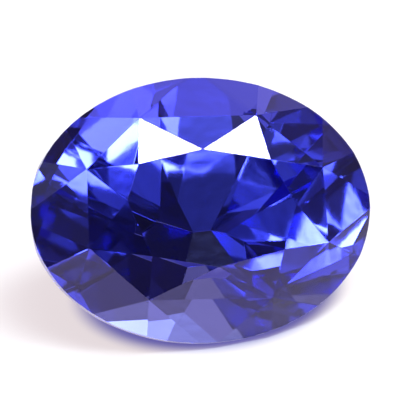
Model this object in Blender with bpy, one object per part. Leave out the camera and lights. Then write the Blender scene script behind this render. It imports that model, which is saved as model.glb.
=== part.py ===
"""An oval cut blue sapphire, 10 mm long, lying on the broad front facet of its pavilion.

It is made as a gem cutter makes it: an oval blank, then one flat cut for each facet. It is cut
with the table up, the top edge of the girdle at height zero, its length along X and its width
along Y. Only then is it laid down.
"""

import math

import bmesh
import bpy
from mathutils import Vector
from mathutils.geometry import intersect_line_plane, intersect_plane_plane

MM = 0.001

# Girdle: the oval outline and its upright band
LENGTH = 10.0
WIDTH = 7.7
GIRDLE_THICKNESS = 0.43
GIRDLE_SIDES = 128

# Crown: the part above the girdle. Corners and tips are (x, y), clockwise from the back. The
# stone is cut by hand, so they lie a tenth of a millimetre or so off a true pattern.
TABLE_HEIGHT = 1.47
STAR_TIP_HEIGHT = 0.98
TABLE_CORNERS = [
    (-0.14, 1.61), (1.82, 1.25), (2.52, -0.07), (2.08, -1.36),
    (0.14, -1.8), (-1.79, -1.41), (-2.43, 0.2), (-2.05, 1.25),
]
STAR_TIPS = [
    (1.58, 2.6), (3.45, 1.02), (3.49, -1.16), (1.77, -2.7),
    (-1.86, -2.63), (-3.51, -1.08), (-3.47, 1.2), (-1.86, 2.63),
]
# Where the mains and the seams between the break facets reach the girdle, as angles of the oval
MAIN_ENDS = [90, 46, 1, -47, -89, -133, 180, 135]
BREAK_SEAMS = [68, 23, -23, -68, -111, -157, 156, 112]
MAIN_TIP_DROP = 0.04  # how far below the girdle's edge a main is aimed, which blunts its tip

# Pavilion: the part below the girdle, down to a short keel that lies off centre
PAVILION_DEPTH = 3.73
KEEL_CENTRE = (0.04, -0.37)
KEEL_LENGTH = 2.37
KEEL_TURN = -13.9  # degrees from the stone's length
# The way each main faces, clockwise from the back, and how much deeper it is ground
PAVILION_MAINS = [87.5, 44, 8, -36.5, -81.5, -121.5, 200.5, 113]
MAIN_INSETS = [0.01, 0.0, 0.08, -0.03, 0.07, 0.0, 0.04, 0.07]
# How far up the pavilion each pair of break facets meets, from keel level (0) to girdle (1)
MEET_HEIGHTS = [0.49, 0.21, 0.72, 0.08, 0.19, 0.65, 0.48, 0.72]
RESTING_MAIN = 4


def on_girdle(angle, height=0.0):
    """The point of the oval outline at an angle of the oval, in degrees."""
    turn = math.radians(angle)
    across = Vector((LENGTH / 2 * math.cos(turn), WIDTH / 2 * math.sin(turn), height))
    return across * MM


def raised(corner, height):
    return Vector((*corner, height)) * MM


def plane_through(a, b, c):
    """A point and the outward normal of the plane through three points of the stone's skin."""
    normal = (b - a).cross(c - a).normalized()
    return a, normal if normal.dot(a) > 0 else -normal


def cut(stone, point, normal):
    """Grinds one flat facet: all that lies outside the plane goes, and the cut is closed."""
    everything = stone.verts[:] + stone.edges[:] + stone.faces[:]
    made = bmesh.ops.bisect_plane(
        stone, geom=everything, dist=1e-8, plane_co=point, plane_no=normal, clear_outer=True
    )
    rim = [edge for edge in made["geom_cut"] if isinstance(edge, bmesh.types.BMEdge)]
    if rim:
        bmesh.ops.contextual_create(stone, geom=rim)


def make_blank():
    """The oval cylinder that the stone is cut from."""
    blank = bmesh.new()
    height = 3 * LENGTH * MM
    bmesh.ops.create_cone(
        blank, cap_ends=True, segments=GIRDLE_SIDES, radius1=1, radius2=1, depth=height
    )
    bmesh.ops.scale(blank, vec=(LENGTH / 2 * MM, WIDTH / 2 * MM, 1), verts=blank.verts)
    return blank


def cut_crown(stone):
    """Table, 8 stars, 8 upper mains, 8 lower mains and 16 break facets."""
    table = [raised(corner, TABLE_HEIGHT) for corner in TABLE_CORNERS]
    tips = [raised(tip, STAR_TIP_HEIGHT) for tip in STAR_TIPS]
    cut(stone, table[0], Vector((0, 0, 1)))
    for i in range(8):
        after = (i + 1) % 8
        seam = on_girdle(BREAK_SEAMS[i])
        cut(stone, *plane_through(table[i], table[after], tips[i]))
        cut(stone, *plane_through(table[i], tips[i - 1], tips[i]))
        cut(stone, *plane_through(tips[i - 1], tips[i], on_girdle(MAIN_ENDS[i], -MAIN_TIP_DROP)))
        cut(stone, *plane_through(tips[i], on_girdle(MAIN_ENDS[i]), seam))
        cut(stone, *plane_through(tips[i], seam, on_girdle(MAIN_ENDS[after])))


def keel_ends():
    along = Vector((math.cos(math.radians(KEEL_TURN)), math.sin(math.radians(KEEL_TURN)), 0))
    centre = Vector((*KEEL_CENTRE, -GIRDLE_THICKNESS - PAVILION_DEPTH))
    return [(centre + along * side * KEEL_LENGTH / 2) * MM for side in (-1, 1)]


def girdle_angle(facing):
    """The angle of the oval where its outline faces the given way, both in degrees."""
    turn = math.radians(facing)
    return math.degrees(math.atan2(WIDTH * math.sin(turn), LENGTH * math.cos(turn)))


def pavilion_main(facing, inset):
    """The plane from the girdle, where it faces this way, to the keel's nearer end, less an inset."""
    turn = math.radians(facing)
    outward = Vector((math.cos(turn), math.sin(turn), 0))
    touch = on_girdle(girdle_angle(facing), -GIRDLE_THICKNESS)
    keel = max(keel_ends(), key=outward.dot)
    slope = math.atan2(touch.z - keel.z, (touch - keel).dot(outward))
    normal = outward * math.sin(slope) - Vector((0, 0, math.cos(slope)))
    return keel - normal * inset * MM, normal


def meet_point(first, second, share):
    """The point of the seam between two pavilion mains that lies this far up the pavilion."""
    level = Vector((0, 0, -GIRDLE_THICKNESS - PAVILION_DEPTH * (1 - share))) * MM
    corner, along = intersect_plane_plane(*first, *second)
    return intersect_line_plane(corner, corner + along, level, Vector((0, 0, 1)))


def cut_pavilion(stone):
    """8 mains that come down to the keel, and 16 lower break facets between them."""
    mains = [pavilion_main(facing, inset) for facing, inset in zip(PAVILION_MAINS, MAIN_INSETS)]
    ends = [girdle_angle(facing) for facing in PAVILION_MAINS]
    for main in mains:
        cut(stone, *main)
    for i, share in enumerate(MEET_HEIGHTS):
        after = (i + 1) % 8
        meet = meet_point(mains[i], mains[after], share)
        swing = (ends[after] - ends[i] + 180) % 360 - 180
        seam = on_girdle(ends[i] + swing / 2, -GIRDLE_THICKNESS)
        for end in (ends[i], ends[after]):
            cut(stone, *plane_through(on_girdle(end, -GIRDLE_THICKNESS), seam, meet))


def lay_down(stone):
    """Turns the resting main face down, and puts the stone on the ground about the origin."""
    normal = pavilion_main(PAVILION_MAINS[RESTING_MAIN], MAIN_INSETS[RESTING_MAIN])[1]
    turn = normal.rotation_difference(Vector((0, 0, -1))).to_matrix()
    bmesh.ops.rotate(stone, cent=(0, 0, 0), matrix=turn, verts=stone.verts)
    low = Vector([min(vert.co[axis] for vert in stone.verts) for axis in range(3)])
    high = Vector([max(vert.co[axis] for vert in stone.verts) for axis in range(3)])
    centre = (low + high) / 2
    bmesh.ops.translate(stone, vec=(-centre.x, -centre.y, -low.z), verts=stone.verts)


def sapphire_material():
    material = bpy.data.materials.new("sapphire")
    material.use_nodes = True
    shader = material.node_tree.nodes["Principled BSDF"]
    shader.inputs["Base Color"].default_value = (0.09, 0.12, 0.62, 1)
    shader.inputs["Roughness"].default_value = 0
    shader.inputs["Metallic"].default_value = 0
    shader.inputs["IOR"].default_value = 1.77
    shader.inputs["Transmission Weight"].default_value = 0.8
    return material


def main():
    for obj in list(bpy.data.objects):
        bpy.data.objects.remove(obj)
    stone = make_blank()
    cut_crown(stone)
    cut_pavilion(stone)
    lay_down(stone)
    bmesh.ops.recalc_face_normals(stone, faces=stone.faces)
    mesh = bpy.data.meshes.new("sapphire")
    stone.to_mesh(mesh)
    stone.free()
    mesh.materials.append(sapphire_material())
    bpy.context.scene.collection.objects.link(bpy.data.objects.new("sapphire", mesh))


main()
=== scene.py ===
"""A loose oval blue sapphire, lying on white paper under soft studio lamps."""

import math

import bmesh
import bpy
from mathutils import Matrix, Vector


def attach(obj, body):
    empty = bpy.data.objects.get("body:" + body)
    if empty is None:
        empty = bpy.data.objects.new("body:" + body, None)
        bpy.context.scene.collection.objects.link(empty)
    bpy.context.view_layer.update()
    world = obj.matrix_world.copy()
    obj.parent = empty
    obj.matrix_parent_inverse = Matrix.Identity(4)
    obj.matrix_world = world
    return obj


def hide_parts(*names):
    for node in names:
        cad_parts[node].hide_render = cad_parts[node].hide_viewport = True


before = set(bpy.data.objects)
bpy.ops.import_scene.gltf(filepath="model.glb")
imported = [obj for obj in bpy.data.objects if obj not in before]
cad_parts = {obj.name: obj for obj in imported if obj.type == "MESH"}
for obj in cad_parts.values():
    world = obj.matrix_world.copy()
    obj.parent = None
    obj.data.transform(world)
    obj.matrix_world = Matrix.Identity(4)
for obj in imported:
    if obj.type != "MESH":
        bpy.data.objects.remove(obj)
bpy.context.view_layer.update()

MM = 0.001
PURE_WHITE = (1, 1, 1, 1)

# Camera: a long lens in front of the stone, looking down at it. Azimuth 0 looks along +Y.
VIEW_AZIMUTH = -5.8
VIEW_ELEVATION = 34.85
VIEW_ROLL = -2.45
VIEW_DISTANCE = 220 * MM
VIEW_WIDTH = 11.55 * MM
VIEW_AIM = Vector((0.0, -0.126, 3.44)) * MM
SENSOR = 36.0
NEAREST = 1 * MM
BOUNCES = 24  # light is reflected many times inside the stone

# Cut: facets within FLAT of each other are one facet, and edges sharper than CREASE are polished
MERGE = 0.0001 * MM
FLAT = math.radians(0.2)
CREASE = math.radians(4)
EDGE_POLISH = 0.006 * MM
GIRDLE_RISE = 0.05  # a girdle facet's normal rises less than this towards the table facet
CROWN, GIRDLE, PAVILION = range(3)

# Crystal: ABSORPTION is how fast it takes up a colour that BODY_COLOUR has none of
REFRACTION = 1.77
ABSORPTION = 0.26 / MM
BODY_COLOUR = (0.0, 0.055, 0.88, 1)
SHEEN_TINT = (0.7, 0.6, 1.0, 1)
WAVE_SCALE = 0.7 / MM
CROWN_WAVES = 0.001 * MM
PAVILION_WAVES = 0.006 * MM
CROWN_ROUGHNESS = 0.0
PAVILION_ROUGHNESS = 0.05

# Girdle: ground, but not polished
GROUND_ROUGHNESS = 0.5
GROUND_CLEARNESS = 0.35
GRAIN_SCALE = 14 / MM
GRAIN_DEPTH = 0.002 * MM
FROST = {
    0.3: (0.7, 0.65, 0.95, 1),
    0.7: (0.9, 0.87, 1.0, 1),
}

# Lamps, as soft ovals: elevation and azimuth of the middle, half width, half height and turn in
# degrees, and brightness. At its half width or half height a lamp has dimmed to 0.6 of that.
# Azimuth 0 is behind the stone as the camera sees it, 90 to its right.
BRIGHT_LAMPS = {
    "strip lamp above": (70, 104, 10.8, 4.6, -127, 72),
    "small lamp above": (67, 139, 2.2, 2.2, 0, 26),
    "small lamp, right": (58, 105, 1.8, 2.2, 0, 24),
    "window behind": (15, 0, 5, 5, 0, 3),
    "low lamp behind": (8.6, 30.4, 7, 7, 0, 4.2),
    "lamp over the camera": (54, 169, 7, 7, 0, 0.75),
    "side lamp, left": (43.5, -107.5, 7, 7, 0, 1.8),
    "side lamp, right": (42, 102.5, 3.5, 3.5, 0, 0.6),
}
DIM_LAMPS = {
    "wall behind": (24, 14, 26, 13, 0, 0.5),
    "wall behind, right": (18, 46, 12, 12, 0, 0.28),
    "wall in front": (2, 150, 60, 8, 0, 0.1),
    "low window, left": (14, -55, 18, 12, 0, 0.49),
    "window, left": (12, -100, 16, 12, 0, 0.5),
    "high window, left": (52, -70, 12, 10, 0, 0.32),
    "ceiling": (58, -5, 8.5, 10.6, -119, 0.45),
}
ROOM = 0.042
LAMP_COLOUR = (0.85, 0.97, 1.0, 1)
ROOM_COLOUR = (1.0, 0.86, 0.98, 1)
CLUTTER_SCALE = 3.0
CLUTTER_CONTRAST = 3.0

# Paper: it glows. Far from the stone the glow is even and keeps it white; nearer, the glow is a
# painted shadow, with painted blue light right under the stone. The ramp below gives that glow by
# the distance from the painted shadow's middle, which is 1 at its half size.
AIR_FILM = 0.005 * MM  # the resting facet is never pressed quite flat on the paper
PAPER_HALF_WIDTH = 2.0
PAPER = (0.18, 0.18, 0.18, 1)
PAPER_ROUGHNESS = 0.7
PAINTED_SHADOW_CENTRE = (0.15 * MM, 0.2 * MM, 0)
PAINTED_SHADOW_HALF_SIZE = (4.9 * MM, 3.9 * MM, 1)
# Painted blue light under the stone, then a dark painted shadow round it, then the paper's even
# glow
PAINTED_SHADOW_GLOW = {
    0.45: (0.44, 0.39, 0.8, 1),
    0.68: (0.13, 0.115, 0.4, 1),
    0.86: (0.76, 0.68, 0.7, 1),
}
BACKDROP = 1.1  # the brightness that the camera sees past the paper's edge


def set_or_link(tree, given, socket):
    """Gives a socket its value, or another node's output."""
    if isinstance(given, bpy.types.NodeSocket):
        tree.links.new(given, socket)
    else:
        socket.default_value = given


def maths(tree, operation, *inputs):
    """A Math node's result. Each input is a number or another node's output."""
    node = tree.nodes.new("ShaderNodeMath")
    node.operation = operation
    for socket, given in zip(node.inputs, inputs):
        set_or_link(tree, given, socket)
    return node.outputs["Value"]


def vector_maths(tree, operation, *inputs, result="Vector"):
    """A Vector Math node's result. Each input is a vector or another node's output."""
    node = tree.nodes.new("ShaderNodeVectorMath")
    node.operation = operation
    for socket, given in zip(node.inputs, inputs):
        set_or_link(tree, given, socket)
    return node.outputs[result]


def noise(tree, place, scale):
    """A cloudy pattern from 0 to 1."""
    node = tree.nodes.new("ShaderNodeTexNoise")
    node.inputs["Scale"].default_value = scale
    tree.links.new(place, node.inputs["Vector"])
    return node.outputs["Fac"]


def colour_ramp(tree, amount, stops, interpolation):
    """A colour that goes from stop to stop as an amount grows. A new ramp has stops 0 and 1."""
    node = tree.nodes.new("ShaderNodeValToRGB")
    ramp = node.color_ramp
    ramp.interpolation = interpolation
    while len(ramp.elements) < len(stops):
        ramp.elements.new(0.5)
    for stop, (position, colour) in zip(ramp.elements, stops.items()):
        stop.position = position
        stop.color = colour
    tree.links.new(amount, node.inputs["Fac"])
    return node.outputs["Color"]


def in_object(tree):
    """The place of a point in its piece."""
    return tree.nodes.new("ShaderNodeTexCoord").outputs["Object"]


def along(tree, direction, axis):
    """How far a direction points along an axis."""
    return vector_maths(tree, "DOT_PRODUCT", direction, axis, result="Value")


def camera_axes():
    """The level directions to the camera's right and away from the camera."""
    turn = math.radians(VIEW_AZIMUTH)
    right = Vector((math.cos(turn), math.sin(turn), 0))
    away = Vector((-math.sin(turn), math.cos(turn), 0))
    return right, away


def lamp_glow(tree, direction, lamp):
    """A soft oval lamp in the room's light, which fades from its middle along a bell curve."""
    elevation, azimuth, half_width, half_height, turn = (math.radians(angle) for angle in lamp[:5])
    brightness = lamp[5]
    right, away = camera_axes()
    level = away * math.cos(azimuth) + right * math.sin(azimuth)
    centre = level * math.cos(elevation) + Vector((0, 0, math.sin(elevation)))
    sideways = right * math.cos(azimuth) - away * math.sin(azimuth)
    upright = sideways.cross(centre)
    width_axis = sideways * math.cos(turn) + upright * math.sin(turn)
    height_axis = upright * math.cos(turn) - sideways * math.sin(turn)
    off_middle = 0.0
    for axis, half in ((width_axis, half_width), (height_axis, half_height)):
        share = maths(tree, "DIVIDE", along(tree, direction, axis), math.sin(half))
        off_middle = maths(tree, "MULTIPLY_ADD", share, share, off_middle)
    glow = maths(tree, "EXPONENT", maths(tree, "MULTIPLY", off_middle, -0.5))
    ahead = maths(tree, "GREATER_THAN", along(tree, direction, centre), 0.0)
    return maths(tree, "MULTIPLY", maths(tree, "MULTIPLY", glow, ahead), brightness)


def lamps_together(tree, direction, lamps, least):
    """The light of all these lamps, on top of the least that comes from every side."""
    light = least
    for lamp in lamps.values():
        light = maths(tree, "ADD", lamp_glow(tree, direction, lamp), light)
    return light


def behind_clutter(tree, direction, light):
    """Light that the things in the room make uneven: where the pattern is middling, it stays."""
    uneven = maths(tree, "SUBTRACT", noise(tree, direction, CLUTTER_SCALE), 0.5)
    uneven = maths(tree, "MULTIPLY_ADD", uneven, CLUTTER_CONTRAST, 1.0)
    return maths(tree, "MULTIPLY", light, maths(tree, "MAXIMUM", uneven, 0.0))


def light_of(tree, colour, brightness):
    """Light of one colour, with a brightness that is a number or a node's output."""
    node = tree.nodes.new("ShaderNodeBackground")
    node.inputs["Color"].default_value = colour
    set_or_link(tree, brightness, node.inputs["Strength"])
    return node.outputs["Background"]


def light_room():
    """A dim room with soft lamps. The camera itself sees white past the paper's edge."""
    world = bpy.data.worlds.new("studio")
    bpy.context.scene.world = world
    world.use_nodes = True
    tree = world.node_tree
    direction = tree.nodes.new("ShaderNodeTexCoord").outputs["Generated"]
    dim = behind_clutter(tree, direction, lamps_together(tree, direction, DIM_LAMPS, ROOM))
    bright = lamps_together(tree, direction, BRIGHT_LAMPS, 0.0)
    both = tree.nodes.new("ShaderNodeAddShader")
    tree.links.new(light_of(tree, ROOM_COLOUR, dim), both.inputs[0])
    tree.links.new(light_of(tree, LAMP_COLOUR, bright), both.inputs[1])
    seen = tree.nodes.new("ShaderNodeMixShader")
    path = tree.nodes.new("ShaderNodeLightPath")
    tree.links.new(path.outputs["Is Camera Ray"], seen.inputs["Fac"])
    tree.links.new(both.outputs["Shader"], seen.inputs[1])
    tree.links.new(light_of(tree, PURE_WHITE, BACKDROP), seen.inputs[2])
    tree.links.new(seen.outputs["Shader"], tree.nodes["World Output"].inputs["Surface"])


def new_material(name):
    material = bpy.data.materials.new(name)
    material.use_nodes = True
    return material, material.node_tree, material.node_tree.nodes["Principled BSDF"]


def fill_with_blue(tree):
    """The crystal's own colour, which deepens with the way the light goes through it."""
    body = tree.nodes.new("ShaderNodeVolumeAbsorption")
    body.inputs["Color"].default_value = BODY_COLOUR
    body.inputs["Density"].default_value = ABSORPTION
    tree.links.new(body.outputs["Volume"], tree.nodes["Material Output"].inputs["Volume"])


def give_relief(tree, shader, height, depth):
    """Makes a surface as uneven as a height from 0 to 1 says, over a depth."""
    relief = tree.nodes.new("ShaderNodeBump")
    relief.inputs["Distance"].default_value = depth
    tree.links.new(height, relief.inputs["Height"])
    tree.links.new(relief.outputs["Normal"], shader.inputs["Normal"])


def polished_crystal(name, roughness, waviness):
    """Clear crystal, whose facets wave a little from the polishing."""
    material, tree, shader = new_material(name)
    shader.inputs["Base Color"].default_value = PURE_WHITE
    shader.inputs["Transmission Weight"].default_value = 1
    shader.inputs["IOR"].default_value = REFRACTION
    shader.inputs["Roughness"].default_value = roughness
    shader.inputs["Specular Tint"].default_value = SHEEN_TINT
    give_relief(tree, shader, noise(tree, in_object(tree), WAVE_SCALE), waviness)
    fill_with_blue(tree)
    return material


def satin_girdle():
    """Ground crystal, with a fine frosty grain."""
    material, tree, shader = new_material("satin girdle")
    grain = noise(tree, in_object(tree), GRAIN_SCALE)
    frost = colour_ramp(tree, grain, FROST, "LINEAR")
    tree.links.new(frost, shader.inputs["Base Color"])
    shader.inputs["Transmission Weight"].default_value = GROUND_CLEARNESS
    shader.inputs["IOR"].default_value = REFRACTION
    shader.inputs["Roughness"].default_value = GROUND_ROUGHNESS
    give_relief(tree, shader, grain, GRAIN_DEPTH)
    fill_with_blue(tree)
    return material


def paper_with_painted_shadow():
    """Matt paper that glows white, with a painted shadow and painted blue light round the stone in
    its glow.
    """
    material, tree, shader = new_material("white paper")
    shader.inputs["Base Color"].default_value = PAPER
    shader.inputs["Roughness"].default_value = PAPER_ROUGHNESS
    shader.inputs["Specular IOR Level"].default_value = 0
    offset = vector_maths(tree, "SUBTRACT", in_object(tree), PAINTED_SHADOW_CENTRE)
    share = vector_maths(tree, "DIVIDE", offset, PAINTED_SHADOW_HALF_SIZE)
    reach = vector_maths(tree, "LENGTH", share, result="Value")
    # Painted shadow and painted blue light round the stone, given as the paper's glow
    painted_glow = colour_ramp(tree, reach, PAINTED_SHADOW_GLOW, "EASE")
    tree.links.new(painted_glow, shader.inputs["Emission Color"])
    shader.inputs["Emission Strength"].default_value = 1
    return material


def add_piece(name, shape, materials):
    mesh = bpy.data.meshes.new(name)
    shape.to_mesh(mesh)
    shape.free()
    piece = bpy.data.objects.new(name, mesh)
    for material in materials:
        mesh.materials.append(material)
    bpy.context.scene.collection.objects.link(piece)
    return piece


def part_of_stone(facet, table_facet):
    """Whether a facet is on the crown, the girdle or the pavilion."""
    rise = facet.normal.dot(table_facet.normal)
    if abs(rise) < GIRDLE_RISE:
        return GIRDLE
    return CROWN if rise > 0 else PAVILION


def cut_stone():
    """The stone as whole flat facets, with a hair of polish along every sharp edge."""
    stone = bmesh.new()
    stone.from_mesh(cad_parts["sapphire"].data)
    bmesh.ops.remove_doubles(stone, verts=stone.verts, dist=MERGE)
    bmesh.ops.dissolve_limit(stone, angle_limit=FLAT, verts=stone.verts, edges=stone.edges)
    table_facet = max(stone.faces, key=lambda facet: facet.calc_area())
    for facet in stone.faces:
        facet.material_index = part_of_stone(facet, table_facet)
        facet.smooth = facet.material_index == GIRDLE
    edges = [edge for edge in stone.edges if edge.calc_face_angle() > CREASE]
    bmesh.ops.bevel(
        stone, geom=edges, offset=EDGE_POLISH, segments=1, profile=0.5, affect="EDGES", material=-1
    )
    # In the order of CROWN, GIRDLE and PAVILION
    finishes = [
        polished_crystal("polished blue crystal", CROWN_ROUGHNESS, CROWN_WAVES),
        satin_girdle(),
        polished_crystal("softly polished blue crystal", PAVILION_ROUGHNESS, PAVILION_WAVES),
    ]
    return add_piece("cut_sapphire", stone, finishes)


def lay_paper():
    paper = bmesh.new()
    bmesh.ops.create_grid(paper, x_segments=1, y_segments=1, size=PAPER_HALF_WIDTH)
    bmesh.ops.translate(paper, vec=(0, 0, -AIR_FILM), verts=paper.verts)
    return add_piece("table_top", paper, [paper_with_painted_shadow()])


def aim_camera():
    lens = bpy.data.cameras.new("long lens")
    lens.sensor_width = SENSOR
    lens.lens = SENSOR * VIEW_DISTANCE / VIEW_WIDTH
    lens.clip_start = NEAREST
    camera = bpy.data.objects.new("camera", lens)
    bpy.context.scene.collection.objects.link(camera)
    away = camera_axes()[1]
    tilt = math.radians(VIEW_ELEVATION)
    back = Vector((0, 0, math.sin(tilt))) - away * math.cos(tilt)
    look = (-back).to_track_quat("-Z", "Y").to_matrix().to_4x4()
    roll = Matrix.Rotation(math.radians(VIEW_ROLL), 4, "Z")
    camera.matrix_world = Matrix.Translation(VIEW_AIM + back * VIEW_DISTANCE) @ look @ roll
    bpy.context.scene.camera = camera


def develop_picture():
    """Plain colours, light followed through every reflection, and no caustics."""
    scene = bpy.context.scene
    scene.view_settings.view_transform = "Standard"
    scene.cycles.max_bounces = BOUNCES
    scene.cycles.glossy_bounces = BOUNCES
    scene.cycles.transmission_bounces = BOUNCES
    scene.cycles.caustics_refractive = False
    scene.cycles.caustics_reflective = False
    scene.cycles.use_denoising = True


stone = cut_stone()
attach(stone, "root")
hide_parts("sapphire")
lay_paper()
light_room()
aim_camera()
develop_picture()
